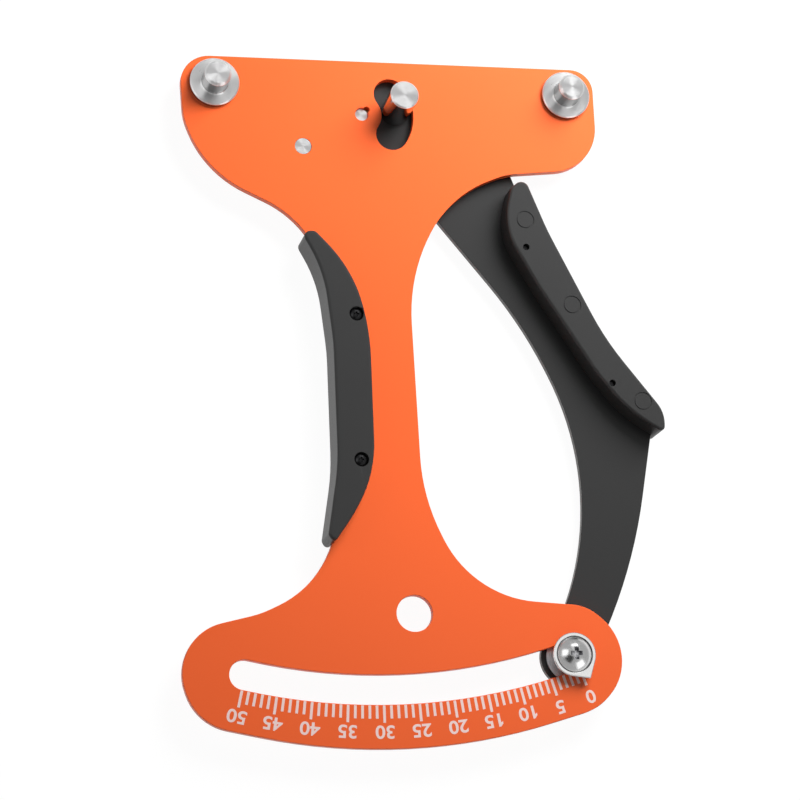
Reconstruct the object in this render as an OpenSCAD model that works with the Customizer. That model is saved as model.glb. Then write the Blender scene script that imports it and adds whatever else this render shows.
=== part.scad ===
// Spoke tension meter: a flat face plate with two fixed posts, and a swing arm that
// carries a third post, a pointer and a grip. The spoke lies under the fixed posts and
// the spring presses the moving post against it. Heights are measured from the front
// face of the plate, and plan positions from the middle between the two fixed posts.

/* [Posts] */
// Distance between the centres of the two fixed posts
post_spacing = 101.6; // [94:0.1:110]
// Diameter of a fixed post
fixed_post_d = 7.5; // [6:0.1:9]
// Height of a fixed post above the plate
fixed_post_h = 8.2; // [6.5:0.1:11]
// Diameter of the flange under a fixed post
flange_d = 14; // [11:0.1:15]
// Thickness of that flange
flange_t = 1.6; // [1:0.1:2.4]
// Diameter of the moving post
moving_post_d = 8.1; // [6:0.1:9]
// Height of the moving post above the plate
moving_post_h = 11.5; // [9:0.1:14]
// Diameter of the spigot that locates each post
spigot_d = 6; // [5:0.1:6.5]
// Chamfer round the tip of each post
tip_chamfer = 0.45; // [0.1:0.05:1]

/* [Pivot] */
// Distance of the pivot to the left of the middle of the posts
pivot_left = 9; // [6:0.1:12]
// Distance of the pivot below the line of the posts
pivot_below = 7.6; // [6:0.1:9]
// Distance from the pivot to the moving post
moving_post_r = 10.3; // [9.8:0.1:12]
// Angle of the moving post at rest, up from the line of the posts
moving_post_a = 11; // [5:0.5:16]
// Diameter of the pivot pin
pin_d = 3.75; // [3:0.05:4.5]
// Depth of the pin's end below the front face
pin_recess = 1; // [0.2:0.1:1.4]
// Outer diameter of the bush in the arm
bush_d = 6.4; // [5.6:0.1:7.5]
// Diameter of the bush's flange
bush_flange_d = 10; // [8:0.1:11]

/* [Plate] */
// Thickness of the face plate
plate_t = 2.4; // [2:0.1:3.5]
// Height of the plate's top edge above the line of the posts
head_top = 8.2; // [7.6:0.1:11]
// Plate beyond the left post
ear_left = 9.8; // [8.5:0.1:13]
// Plate beyond the right post
ear_right = 8.4; // [7.8:0.1:12]
// Left edge of the neck, from the middle of the posts
neck_left = 17; // [15.5:0.1:19]
// Right edge of the neck, from the middle of the posts
neck_right = 3.2; // [1:0.1:4]
// Diameter of the hole that the tool hangs by
hang_hole_d = 10; // [6:0.1:14]
// Distance of the hanging hole above the scale slot's middle
hang_hole_above = 20.6; // [20:0.1:24]

/* [Scale] */
// Radius of the scale slot's middle, from the pivot
scale_r = 163.1; // [158:0.1:170]
// Width of the scale slot
slot_w = 8.1; // [7.6:0.1:9]
// Diameter of the pointer post where it passes the slot
stem_d = 7.2; // [5.5:0.1:7.4]
// Angle of the arm's pointer at rest, right of straight down
rest_a = 18.9; // [17:0.1:20]
// Swing of the arm from rest to the far end of the slot
swing_a = 32.3; // [28:0.1:33]

/* [Arm] */
// Thickness of the swing arm
arm_t = 2; // [1.5:0.1:2.6]
// Gap between the plate and the arm
arm_gap = 0.7; // [0.5:0.1:1.2]
// Radius of the arm's lower end, round the pointer post
arm_end_r = 8; // [7.2:0.1:9]
// Radius of the ear that carries the spring peg
ear_r = 3.2; // [2.8:0.1:3.5]

/* [Pointer] */
// Diameter of the pointer disc
pointer_d = 12; // [10:0.1:14]
// Distance from the disc's centre to the pointer's tip
pointer_tip = 7.8; // [7:0.1:9]
// Turn of the pointer's tip away from the arm's radius
pointer_turn = 13.2; // [0:0.1:20]
// Thickness of the pointer disc
pointer_t = 0.9; // [0.6:0.1:1.4]
// Gap between the plate and the pointer disc
pointer_gap = 1.7; // [0.8:0.1:2.5]
// Diameter of the flange that guides the arm behind the slot
guide_d = 13.2; // [10:0.1:14]

/* [Grips] */
// Height of the grips above the plate's front face
grip_front = 4.3; // [3.4:0.1:6]
// Depth of the grips behind the plate's front face
grip_back = 7.6; // [7.6:0.1:9]
// Rounding along the edges of the grips
grip_round = 0.8; // [0.3:0.1:1]
// Diameter of the grip screws' heads
grip_head_d = 3.8; // [3.2:0.1:4.2]
// Height of the grip screws' heads
grip_head_h = 1.1; // [0.8:0.1:1.3]
// Diameter of the grip screws' shanks
grip_screw_d = 2.2; // [1.8:0.1:2.4]
// Diameter of the pilot holes that show in the right grip
pilot_d = 1.9; // [1.2:0.1:2]
// Diameter of the ejector marks on the right grip
ejector_d = 5.2; // [4:0.1:5.6]

/* [Spring] */
// Diameter of the spring's wire
wire_d = 0.8; // [0.6:0.05:0.85]
// Outer diameter of the spring's body
spring_d = 3.8; // [3.4:0.1:3.8]
// Turns in the spring's body
spring_turns = 7; // [5:1:7]
// Diameter of the grooves that hold the spring's hooks
groove_d = 2.4; // [2:0.1:2.6]
// Diameter of the anchor stud where it shows in the plate
stud_d = 4.7; // [4:0.1:5.4]

/* [Screws] */
// Diameter of the post and pointer screws
screw_d = 4; // [3:0.1:4.4]
// Head diameter of the post screws
screw_head_d = 7.4; // [6:0.1:8.5]
// Head height of the post screws
screw_head_h = 2.1; // [1.6:0.1:2.3]
// Head diameter of the pointer screw
pointer_head_d = 8.8; // [7:0.1:10]
// Head height of the pointer screw
pointer_head_h = 2.4; // [1.6:0.1:3]
// Thickness of the washers under the fixed posts' screws
washer_t = 0.8; // [0.5:0.1:1.2]

/* [Clearances] */
// Radial clearance of a running fit
run_clear = 0.05; // [0.02:0.01:0.08]
// Radial clearance of a fixed fit
fit_clear = 0.03; // [0.01:0.01:0.05]
// Clearance between a grip and the sheet metal that it holds
grip_clear = 0.1; // [0.05:0.05:0.2]
// Clearance left at each end of the swing
stop_gap = 0.1; // [0.05:0.05:0.2]
// Clearance of the moving post in its kidney slot
kidney_clear = 0.5; // [0.3:0.05:0.7]
// Clearance of thin moving pieces beside the plate
side_clear = 0.1; // [0.05:0.05:0.2]

/* [Hidden] */
$fn = 64;

// Heights of the faces, from the plate's front face
plate_back = -plate_t;
arm_front = plate_back - arm_gap;
arm_back = arm_front - arm_t;
pointer_z = pointer_gap;
spring_z = arm_back - side_clear - wire_d / 2;

// Plan positions
pivot = [-pivot_left, -pivot_below];
left_post = [-post_spacing / 2, 0];
right_post = [post_spacing / 2, 0];
moving_post_at = pivot + moving_post_r * [cos(moving_post_a), sin(moving_post_a)];
pointer_at = on_scale(scale_r, -rest_a);
scale_low = pivot.y - scale_r;
hang_hole_at = [0.4, scale_low + hang_hole_above];
anchor_at = [-26.1, -17.7];
peg_at = [-16, -4.9];
left_grip_holes = [[-13.4, -67.4], [-13.5, -108.5]];
right_grip_holes = [[35.8, -47], [58.6, -86.1]];
ejector_marks = [[35.9, -39], [48.2, -63.6], [67.1, -91.2]];

// Ends of the two curved slots, as angles from the pivot
slot_play_a = deg_of((slot_w - stem_d) / 2 - stop_gap, scale_r);
slot_left_a = swing_a - rest_a - slot_play_a;
slot_right_a = -rest_a + slot_play_a;
kidney_w = moving_post_d + 2 * kidney_clear;
kidney_over_a = 13;
kidney_top_a = moving_post_a + 2 * kidney_over_a;
kidney_low_a = moving_post_a - swing_a - kidney_over_a;

// Outlines run anticlockwise, and each corner is [x, y, radius]
left_edge = -post_spacing / 2 - ear_left;
right_edge = post_spacing / 2 + ear_right;
plate_corners = [
    [left_edge, head_top, 8.3],
    [left_edge + 0.8, -10.3, 18.7],
    [left_edge + 6.8, -25.9, 31],
    [-neck_left - 9.7, -39, 29],
    [-neck_left - 3.3, -56, 40],
    [-neck_left, -85, 60],
    [-neck_left - 1.6, scale_low + 46.7, 30],
    corner_on_scale(-26.4, slot_left_a - 5.8, 29),
    corner_on_scale(-17, slot_left_a - 0.4, 28),
    corner_on_scale(-3.8, slot_left_a + 8.1, 14),
    corner_on_scale(15.9, slot_left_a + 3.1, 14.6),
    corner_on_scale(21, -2.1, 166),
    corner_on_scale(15.9, slot_right_a - 0.7, 15),
    corner_on_scale(7.4, slot_right_a - 6.6, 14.6),
    corner_on_scale(-11.1, slot_right_a - 3.6, 12.8),
    corner_on_scale(-22.8, slot_right_a + 8.2, 30),
    [neck_right + 0.8, scale_low + 52.7, 54],
    [neck_right - 0.5, -54.7, 53],
    [neck_right + 12.4, -31, 35],
    [right_edge - 27, -24.3, 20.5],
    [right_edge + 0.2, -21.7, 14],
    [right_edge, head_top, 6.5]];
arm_corners = [
    [0.4, -22.7, 12],
    [35.5, -67.1, 122],
    [pointer_at.x + 16.27, pointer_at.y + 41.91, 81],
    [pointer_at.x - 5.6, pointer_at.y + 3.7, 0.5],
    [pointer_at.x + 5.4, pointer_at.y - 3.8, 0.5],
    [pointer_at.x + 20.07, pointer_at.y + 25.61, 148],
    [72.1, -94, 5],
    [56.3, -74, 70],
    [41.4, -42.6, 60],
    [34, -23.2, 1.5],
    [14, -11, 27],
    [8.5, 6.6, 8],
    [peg_at.x - ear_r, peg_at.y + ear_r + 0.4, ear_r],
    [peg_at.x - ear_r, peg_at.y - ear_r, ear_r - 0.1],
    [pivot.x - 4.8, peg_at.y - ear_r, 1.5],
    [pivot.x - 4.8, pivot.y - 6, 6]];
left_grip_corners = [
    [-22.2, -55.1, 39],
    [-20.1, -75.6, 61],
    [-20, -109.8, 65],
    [-23.3, -129.2, 1.5],
    [-21.8, -131.7, 1.2],
    [-16.3, -124, 60],
    [-9.7, -112.2, 36],
    [-9.7, -72.5, 66],
    [-13.7, -54.9, 38],
    [-24.1, -43.6, 2.1],
    [-28.3, -43.7, 1.7]];
right_grip_corners = [
    [29.4, -41.2, 19],
    [39.2, -58.8, 27],
    [53.7, -82.3, 63],
    [62.4, -93.6, 39],
    [73.2, -100.3, 1.2],
    [73.4, -94.1, 9],
    [57.4, -73.2, 78],
    [42.5, -42, 64],
    [36.4, -26.1, 2.2],
    [32.3, -29.5, 1.9]];

// Screws and posts, by the faces that they seat on
screw_play = 0.4;
head_play = 0.3;
grip_recess = 0.3;
left_head_seat = grip_front - grip_recess - grip_head_h;
right_head_seat = -grip_back + grip_recess + grip_head_h;
shank_stop = 1.2;
bore_over = 0.3;
post_bore_depth = 5.5;
post_screw_len = 4.6;
spigot_short = 0.2;
washer_d = screw_head_d + 1.4;
rivet_d = 5;
rivet_head_d = 7;
rivet_head_t = 0.8;

// Pivot, from the arm's back face backwards
pivot_washer_d = bush_d + 3;
pivot_washer_t = 0.4;
clip_d = pin_d + 3.6;
clip_t = 0.6;
clip_bite = 0.5;
clip_top = arm_back - side_clear - pivot_washer_t;
pin_end = clip_top - clip_t - 0.5;

// Ends that hold the spring's hooks
peg_d = 3;
hook_head_d = groove_d + 1.8;
hook_head_t = 0.7;
groove_low = spring_z - wire_d / 2 - side_clear;
collar_d = stud_d + 1.6;
collar_t = 0.4;

// Spring: a path along x between the hooks' centres
spring_run = norm(anchor_at - peg_at);
coil_r = (spring_d - wire_d) / 2;
hook_r = groove_d / 2 + side_clear + wire_d / 2;
hook_open_a = 60;
hook_tip = hook_r * [cos(hook_open_a), sin(hook_open_a)];
body_start = 3.6;
body_len = spring_run - 2 * body_start;
rings_per_turn = 8;
hook = concat(
    [for (a = [-hook_open_a:-20:hook_open_a - 360]) [hook_r * cos(a), hook_r * sin(a), 0]],
    [for (k = [0.2:0.2:0.8])
        [hook_tip.x + (body_start - hook_tip.x) * k, hook_tip.y * cos(180 * k), 0]]);
body = [for (i = [0:spring_turns * rings_per_turn])
    let (a = 180 - 360 * i / rings_per_turn)
    [body_start + body_len * i / (spring_turns * rings_per_turn),
        coil_r * cos(a), coil_r * sin(a)]];
far_hook = [for (i = [len(hook) - 1:-1:0])
    [spring_run - hook[i].x, hook[i].y, -hook[i].z]];
wire_path = concat(hook, body, far_hook);
wire_gap = min([for (i = [0:len(wire_path) - 1], j = [i + 5:1:len(wire_path) - 1])
    norm(wire_path[i] - wire_path[j])]) - wire_d;
echo(wire_gap = wire_gap);

// How far a cutting solid runs past the face that it opens
cut = 1;

// Space that the whole tool fills, for the origin under its middle
footprint = concat(rounded(plate_corners), rounded(right_grip_corners));
mid_x = (min([for (p = footprint) p.x]) + max([for (p = footprint) p.x])) / 2;
mid_y = (min([for (p = footprint) p.y]) + max([for (p = footprint) p.y])) / 2;

function deg_of(arc, r) = arc / r * 180 / PI;
function unit(v) = v / norm(v);
function side(v) = [-v.y, v.x];
function spin(v, a) = [v.x * cos(a) - v.y * sin(a), v.x * sin(a) + v.y * cos(a)];
function plan(p) = [p.x, p.y];
function arc(c, r, a0, a1, n) =
    [for (i = [0:n]) c + r * [cos(a0 + (a1 - a0) * i / n), sin(a0 + (a1 - a0) * i / n)]];

// A point at radius r from the pivot, a degrees left of straight down
function on_scale(r, a) = pivot + r * [-sin(a), -cos(a)];
function corner_on_scale(dr, a, r) =
    let (p = on_scale(scale_r + dr, a)) [p.x, p.y, r];

// Points of an outline with rounded corners, drawn in by inset
function rounded(c, inset = 0) = [for (i = [0:len(c) - 1])
    each round_corner(c[(i + len(c) - 1) % len(c)], c[i], c[(i + 1) % len(c)], inset)];
function round_corner(before, at, after, inset) =
    let (d0 = unit(plan(at) - plan(before)),
        d1 = unit(plan(after) - plan(at)),
        turn = atan2(d0.x * d1.y - d0.y * d1.x, d0 * d1),
        bend = sign(turn),
        r = max(at[2] - bend * inset, 0.05),
        p = plan(at) + inset * (side(d0) + side(d1)) / (1 + d0 * d1),
        start = p - d0 * r * tan(abs(turn) / 2),
        n = max(2, ceil(abs(turn) / (2 * acos(1 - 0.02 / max(at[2], 0.5))))))
    [for (i = [0:n]) start + bend * r * (side(d0) - spin(side(d0), turn * i / n))];

// Outline of a curved slot round the pivot
function arc_slot(r, w, a0, a1) =
    let (n = ceil((a1 - a0) / 2))
    concat(arc(pivot, r + w / 2, a0, a1, n),
        arc(pivot + r * [cos(a1), sin(a1)], w / 2, a1 + 10, a1 + 170, 16),
        arc(pivot, r - w / 2, a1, a0, n),
        arc(pivot + r * [cos(a0), sin(a0)], w / 2, a0 + 190, a0 + 350, 16));

module seat() {
    translate([-mid_x, -mid_y, grip_back]) children();
}

module place(p, z = 0) {
    translate([p.x, p.y, z]) children();
}

module slab(outline, low, high) {
    translate([0, 0, low]) linear_extrude(height = high - low) polygon(outline);
}

// A bore or a pin between two heights
module rod(d, low, high) {
    translate([0, 0, low]) cylinder(d = d, h = high - low);
}

// A moulded block from a flat face to a face with rounded edges
module moulded(corners, flat, face) {
    up = sign(face - flat);
    steps = [0, 30, 60, 90];
    levels = concat([[0, flat]], [for (a = steps)
        [grip_round * (1 - cos(a)), face - up * grip_round * (1 - sin(a))]]);
    rings = [for (l = levels) [for (p = rounded(corners, l[0])) [p.x, p.y, l[1]]]];
    loft(up > 0 ? rings : [for (i = [len(rings) - 1:-1:0]) rings[i]], level_cap(rings[0]));
}

// Triangles between the two sides of a level outline, from its top to its bottom, as
// indices of its points. Each step goes down the side whose next point is higher.
function zip(p, l, r, low) = l == low && r == low ? [] :
    let (n = len(p), l1 = (l + 1) % n, r1 = (r + n - 1) % n)
    l != low && (r == low || p[l1].y > p[r1].y)
        ? concat([[l, l1, r]], zip(p, l1, r, low))
        : concat([[l, r1, r]], zip(p, l, r1, low));
function level_cap(ring) =
    let (ys = [for (p = ring) p.y], top = search(max(ys), ys)[0], low = search(min(ys), ys)[0])
    [for (t = zip(ring, top, top, low)) if (t[0] != t[1] && t[1] != t[2] && t[0] != t[2]) t];

// Closed skin through rings of equal length, from the lowest to the highest, with the
// triangles that close the lowest ring, seen from above
module loft(rings, cap) {
    n = len(rings[0]);
    last = len(rings) - 1;
    polyhedron(
        points = [for (ring = rings) each ring],
        faces = concat(
            cap,
            [for (k = [0:last - 1], i = [0:n - 1]) let (j = (i + 1) % n)
                each [[k * n + i, (k + 1) * n + i, (k + 1) * n + j],
                    [k * n + i, (k + 1) * n + j, k * n + j]]],
            [for (t = cap) [last * n + t[2], last * n + t[1], last * n + t[0]]]));
}

// A screw along +Z, its head above 0 and its shank below
module screw(d, length, head_d, head_h) {
    lead = 0.3;
    rim = head_h * 0.4;
    difference() {
        rotate_extrude() polygon(concat(
            [[0, -length], [d / 2 - lead, -length], [d / 2, lead - length], [d / 2, 0]],
            [for (a = [0:15:90]) [head_d / 2 * cos(a), rim + (head_h - rim) * sin(a)]]));
        cross_recess(head_d * 0.42, head_h);
    }
}

// Crossed recess for the driver
module cross_recess(across, top) {
    blade = across / 4.5;
    depth = top * 0.6;
    for (turn = [0, 90]) rotate(turn)
        translate([-across / 2, -blade / 2, top - depth])
            cube([across, blade, depth + cut]);
}

// Profile of a post's stem, from its foot to its chamfered tip
function stem_profile(d, foot, top) =
    [[d / 2, foot], [d / 2, top - tip_chamfer], [d / 2 - tip_chamfer, top], [0, top]];

// Threaded bore in the foot of a post, for a screw that enters from behind
module post_bore(foot, depth) {
    rod(screw_d + 2 * fit_clear, foot - cut, foot + depth);
}

module face_plate() {
    color("orangered") seat() difference() {
        slab(rounded(plate_corners), plate_back, 0);
        slab(arc_slot(scale_r, slot_w, 270 - slot_left_a, 270 - slot_right_a),
            plate_back - cut, cut);
        slab(arc_slot(moving_post_r, kidney_w, kidney_low_a, kidney_top_a),
            plate_back - cut, cut);
        place(hang_hole_at) rod(hang_hole_d, plate_back - cut, cut);
        place(pivot) rod(pin_d + 2 * fit_clear, plate_back - cut, cut);
        place(pivot + pin_d * [0.38, 0.38]) rod(pin_d * 0.45, plate_back / 2, cut);
        place(anchor_at) rod(stud_d + 2 * fit_clear, plate_back - cut, cut);
        for (p = [left_post, right_post])
            place(p) rod(spigot_d + 2 * fit_clear, plate_back - cut, cut);
        for (p = left_grip_holes) 
            place(p) rod(grip_screw_d + screw_play, plate_back - cut, cut);
    }
}

module fixed_post() {
    edge = 0.3;
    blend = 0.6;
    spigot_end = plate_back + spigot_short;
    difference() {
        rotate_extrude() polygon(concat(
            [[0, spigot_end], [spigot_d / 2, spigot_end], [spigot_d / 2, 0],
                [flange_d / 2, 0], [flange_d / 2, flange_t - edge],
                [flange_d / 2 - edge, flange_t]],
            [for (a = [0:22.5:90]) [fixed_post_d / 2 + blend * (1 - sin(a)),
                flange_t + blend * (1 - cos(a))]],
            stem_profile(fixed_post_d, flange_t + blend, fixed_post_h)));
        post_bore(spigot_end, post_bore_depth);
    }
}

module left_fixed_post() {
    color("silver") seat() place(left_post) fixed_post();
}

module right_fixed_post() {
    color("silver") seat() place(right_post) fixed_post();
}

module post_washers() {
    color("silver") seat() for (p = [left_post, right_post])
        place(p, plate_back - washer_t) difference() {
            cylinder(d = washer_d, h = washer_t);
            rod(screw_d + screw_play, -cut, washer_t + cut);
        }
}

module fixed_post_screws() {
    color("dimgray") seat() for (p = [left_post, right_post])
        place(p, plate_back - washer_t) rotate([180, 0, 0])
            screw(screw_d, post_screw_len + washer_t, screw_head_d, screw_head_h);
}

module left_grip_front() {
    color("#3c3c3c") seat() difference() {
        moulded(left_grip_corners, plate_back / 2, grip_front);
        slab(rounded(plate_corners, -grip_clear), plate_back, 0);
        for (p = left_grip_holes) place(p) {
            rod(grip_head_d + head_play, left_head_seat, grip_front + cut);
            rod(grip_screw_d + screw_play, plate_back, grip_front);
        }
    }
}

module left_grip_back() {
    color("#3c3c3c") seat() difference() {
        moulded(left_grip_corners, plate_back / 2, -grip_back);
        slab(rounded(plate_corners, -grip_clear), plate_back, cut);
        for (p = left_grip_holes)
            place(p) rod(grip_screw_d + 2 * fit_clear, -grip_back + shank_stop - bore_over, cut);
    }
}

module left_grip_screws() {
    color("#202020") seat() for (p = left_grip_holes) place(p, left_head_seat)
        screw(grip_screw_d, left_head_seat + grip_back - shank_stop,
            grip_head_d, grip_head_h);
}

// Stud end that holds a spring hook: a groove below the given face, then a head
module hook_end(face) {
    rod(groove_d, groove_low - hook_head_t / 2, face);
    rod(hook_head_d, groove_low - hook_head_t, groove_low);
}

module spring_anchor() {
    color("silver") seat() place(anchor_at) {
        rod(stud_d, spring_z + wire_d / 2 + side_clear, 0);
        rod(collar_d, plate_back - collar_t, plate_back);
        hook_end(plate_back);
    }
}

module pivot_pin() {
    color("silver") seat() place(pivot) difference() {
        rod(pin_d, pin_end, -pin_recess);
        difference() {
            rod(pin_d + cut, clip_top - clip_t, clip_top);
            rod(pin_d - 2 * clip_bite, pin_end, clip_top + cut);
        }
    }
}

module pivot_bush() {
    color("darkgoldenrod") seat() place(pivot) difference() {
        union() {
            rod(bush_flange_d, arm_front, plate_back - side_clear);
            rod(bush_d, arm_back, arm_front + side_clear);
        }
        rod(pin_d + 2 * run_clear, arm_back - cut, plate_back + cut);
    }
}

module pivot_washer() {
    color("silver") seat() place(pivot) difference() {
        rod(pivot_washer_d, clip_top, clip_top + pivot_washer_t);
        rod(pin_d + 2 * run_clear, clip_top - cut, arm_back + cut);
    }
}

// Retaining clip in the pin's groove, open to one side
module pivot_clip() {
    neck_d = pin_d - 2 * clip_bite + 2 * fit_clear;
    mouth = neck_d * 0.85;
    color("silver") seat() place(pivot, clip_top - clip_t) difference() {
        cylinder(d = clip_d, h = clip_t);
        rod(neck_d, -cut, clip_t + cut);
        rotate(225) translate([0, -mouth / 2, -cut])
            cube([clip_d, mouth, clip_t + 2 * cut]);
    }
}

module swing_arm() {
    color("#333333") seat() difference() {
        union() {
            slab(rounded(arm_corners), arm_back, arm_front);
            place(pointer_at) rod(2 * arm_end_r, arm_back, arm_front);
        }
        place(pivot) rod(bush_d + 2 * fit_clear, arm_back - cut, arm_front + cut);
        place(moving_post_at) rod(spigot_d + 2 * fit_clear, arm_back - cut, arm_front + cut);
        place(peg_at) rod(peg_d + 2 * fit_clear, arm_back - cut, arm_front + cut);
        place(pointer_at) rod(rivet_d + 2 * fit_clear, arm_back - cut, arm_front + cut);
        for (p = right_grip_holes)
            place(p) rod(grip_screw_d + screw_play, arm_back - cut, arm_front + cut);
    }
}

module moving_post() {
    spigot_end = arm_back + spigot_short;
    color("silver") seat() place(moving_post_at) difference() {
        rotate_extrude() polygon(concat(
            [[0, spigot_end], [spigot_d / 2, spigot_end], [spigot_d / 2, arm_front]],
            stem_profile(moving_post_d, arm_front, moving_post_h)));
        post_bore(spigot_end, post_bore_depth);
    }
}

module moving_post_screw() {
    color("dimgray") seat() place(moving_post_at, arm_back) rotate([180, 0, 0])
        screw(screw_d, post_screw_len, screw_head_d, screw_head_h);
}

module spring_peg() {
    color("silver") seat() place(peg_at) {
        rod(peg_d, arm_back, arm_front);
        hook_end(arm_back);
    }
}

// Directions along a path, and the turn of a tube's rings carried along it
function tangents(path) = [for (i = [0:len(path) - 1])
    unit(path[min(i + 1, len(path) - 1)] - path[max(i - 1, 0)])];
function carried(n, t) = unit(n - (n * t) * t);
function frames(t) = [for (i = 0, n = carried([0, 0, 1], t[0]); i < len(t);
    i = i + 1, n = i < len(t) ? carried(n, t[i]) : n) n];

module tube(path, d, sides) {
    t = tangents(path);
    n = frames(t);
    loft([for (i = [0:len(path) - 1]) [for (k = [0:sides - 1])
        path[i] + d / 2 * (cos(360 * k / sides) * n[i]
            + sin(360 * k / sides) * cross(t[i], n[i]))]],
        [for (k = [1:sides - 2]) [0, k, k + 1]]);
}

module return_spring() {
    along = anchor_at - peg_at;
    color("silver") seat() place(peg_at, spring_z) rotate(atan2(along.y, along.x))
        tube(wire_path, wire_d, 6);
}

// Shallow ring left in the moulding by an ejector pin
module ejector_mark() {
    groove = 0.35;
    depth = 0.2;
    translate([0, 0, grip_front - depth]) difference() {
        cylinder(d = ejector_d, h = depth + cut);
        rod(ejector_d - 2 * groove, -cut, depth + 2 * cut);
    }
}

module right_grip_front() {
    color("#3c3c3c") seat() difference() {
        moulded(right_grip_corners, (arm_front + arm_back) / 2, grip_front);
        slab(rounded(arm_corners, -grip_clear), arm_back, arm_front);
        for (p = right_grip_holes) place(p) {
            rod(pilot_d, arm_back, grip_front + cut);
            rod(grip_screw_d + 2 * fit_clear, arm_back, grip_front - shank_stop + bore_over);
        }
        for (p = ejector_marks) place(p) ejector_mark();
    }
}

module right_grip_back() {
    color("#3c3c3c") seat() difference() {
        moulded(right_grip_corners, (arm_front + arm_back) / 2, -grip_back);
        slab(rounded(arm_corners, -grip_clear), arm_back, cut);
        for (p = right_grip_holes) place(p) {
            rod(grip_head_d + head_play, -grip_back - cut, right_head_seat);
            rod(grip_screw_d + screw_play, -grip_back, cut);
        }
    }
}

module right_grip_screws() {
    color("#202020") seat() for (p = right_grip_holes)
        place(p, right_head_seat) rotate([180, 0, 0])
            screw(grip_screw_d, grip_front - shank_stop - right_head_seat,
                grip_head_d, grip_head_h);
}

module pointer_post() {
    color("silver") seat() place(pointer_at) difference() {
        union() {
            rod(rivet_head_d, arm_back - rivet_head_t, arm_back);
            rod(rivet_d, arm_back - rivet_head_t, plate_back);
            rod(guide_d, arm_front, plate_back - side_clear);
            rod(stem_d, arm_front, pointer_z);
        }
        rod(screw_d + 2 * fit_clear, pointer_z - post_bore_depth, pointer_z + cut);
    }
}

// Disc with one pointed side, towards the scale
module pointer() {
    half = acos(pointer_d / 2 / pointer_tip);
    teardrop = concat(arc([0, 0], pointer_d / 2, half, 360 - half, 48),
        [[pointer_tip, 0]]);
    color("silver") seat() place(pointer_at, pointer_z)
        rotate(270 + rest_a + pointer_turn) difference() {
            linear_extrude(height = pointer_t) polygon(teardrop);
            rod(screw_d + screw_play, -cut, pointer_t + cut);
        }
}

module pointer_screw() {
    color("silver") seat() place(pointer_at, pointer_z + pointer_t)
        screw(screw_d, post_screw_len + pointer_t, pointer_head_d, pointer_head_h);
}

face_plate();
left_fixed_post();
right_fixed_post();
post_washers();
fixed_post_screws();
left_grip_front();
left_grip_back();
left_grip_screws();
spring_anchor();
pivot_pin();
swing_arm();
pivot_bush();
pivot_washer();
pivot_clip();
moving_post();
moving_post_screw();
spring_peg();
return_spring();
right_grip_front();
right_grip_back();
right_grip_screws();
pointer_post();
pointer();
pointer_screw();
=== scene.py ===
import math

import bpy
from mathutils import Matrix, Vector


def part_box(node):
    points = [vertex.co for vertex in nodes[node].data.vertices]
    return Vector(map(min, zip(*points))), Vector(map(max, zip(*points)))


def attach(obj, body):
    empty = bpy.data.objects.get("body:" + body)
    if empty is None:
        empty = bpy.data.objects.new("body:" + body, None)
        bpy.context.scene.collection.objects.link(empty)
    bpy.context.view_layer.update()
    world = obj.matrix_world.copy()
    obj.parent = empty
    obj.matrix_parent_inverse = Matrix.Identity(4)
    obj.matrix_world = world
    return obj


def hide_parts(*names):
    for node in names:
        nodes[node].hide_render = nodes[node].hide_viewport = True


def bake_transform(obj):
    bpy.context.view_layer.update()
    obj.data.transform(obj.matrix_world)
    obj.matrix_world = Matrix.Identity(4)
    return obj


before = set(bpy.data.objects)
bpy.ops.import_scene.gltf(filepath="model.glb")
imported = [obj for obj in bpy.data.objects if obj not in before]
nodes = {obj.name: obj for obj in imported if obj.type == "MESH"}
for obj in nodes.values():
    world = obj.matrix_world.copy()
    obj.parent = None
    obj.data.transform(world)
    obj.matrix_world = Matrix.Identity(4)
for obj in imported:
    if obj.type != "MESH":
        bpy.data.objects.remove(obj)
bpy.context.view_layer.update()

mm = 0.001


def middle(node):
    low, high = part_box(node)
    return (low + high) / 2


# Everything is placed from the point midway between the fixed posts, on the plate's face
datum = (middle("left_fixed_post") + middle("right_fixed_post")) / 2
datum.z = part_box("face_plate")[1].z


def spot(x, y, z=0.0):
    # Millimetres from the datum, as a place in the frame
    return datum + Vector((x, y, z)) * mm


def over(node):
    # Where a node's middle lies on the plate's face, in millimetres from the datum
    offset = (middle(node) - datum) / mm
    return Vector((offset.x, offset.y, 0))


def level(height):
    # A height in the frame, as millimetres above the plate's face
    return (height - datum.z) / mm


def nothingSelected():
    if bpy.context.object and bpy.context.object.mode != "OBJECT":
        bpy.ops.object.mode_set(mode="OBJECT")
    bpy.ops.object.select_all(action="DESELECT")


def onlyThis(piece):
    nothingSelected()
    piece.hide_set(False)
    piece.select_set(True)
    bpy.context.view_layer.objects.active = piece
    return piece


def named(name):
    piece = bpy.context.object
    piece.name = name
    piece.data.name = name
    return piece


def settle(piece):
    # Puts the place, turn and size into the mesh, with the object at the origin
    onlyThis(piece)
    bpy.ops.object.transform_apply(location=True, rotation=True, scale=True)
    return piece


def modified(piece, kind, **settings):
    onlyThis(piece)
    extra = piece.modifiers.new(kind.lower(), kind)
    for key, value in settings.items():
        setattr(extra, key, value)
    bpy.ops.object.modifier_apply(modifier=extra.name)
    return piece


def pickBy(kind):
    # What edit mode selects: "point", "edge" or "face"
    chosen = tuple(kind == each for each in ("point", "edge", "face"))
    bpy.context.tool_settings.mesh_select_mode = chosen


def editAll():
    bpy.ops.object.mode_set(mode="EDIT")
    bpy.ops.mesh.select_all(action="SELECT")


def editDone():
    bpy.ops.object.mode_set(mode="OBJECT")


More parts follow.
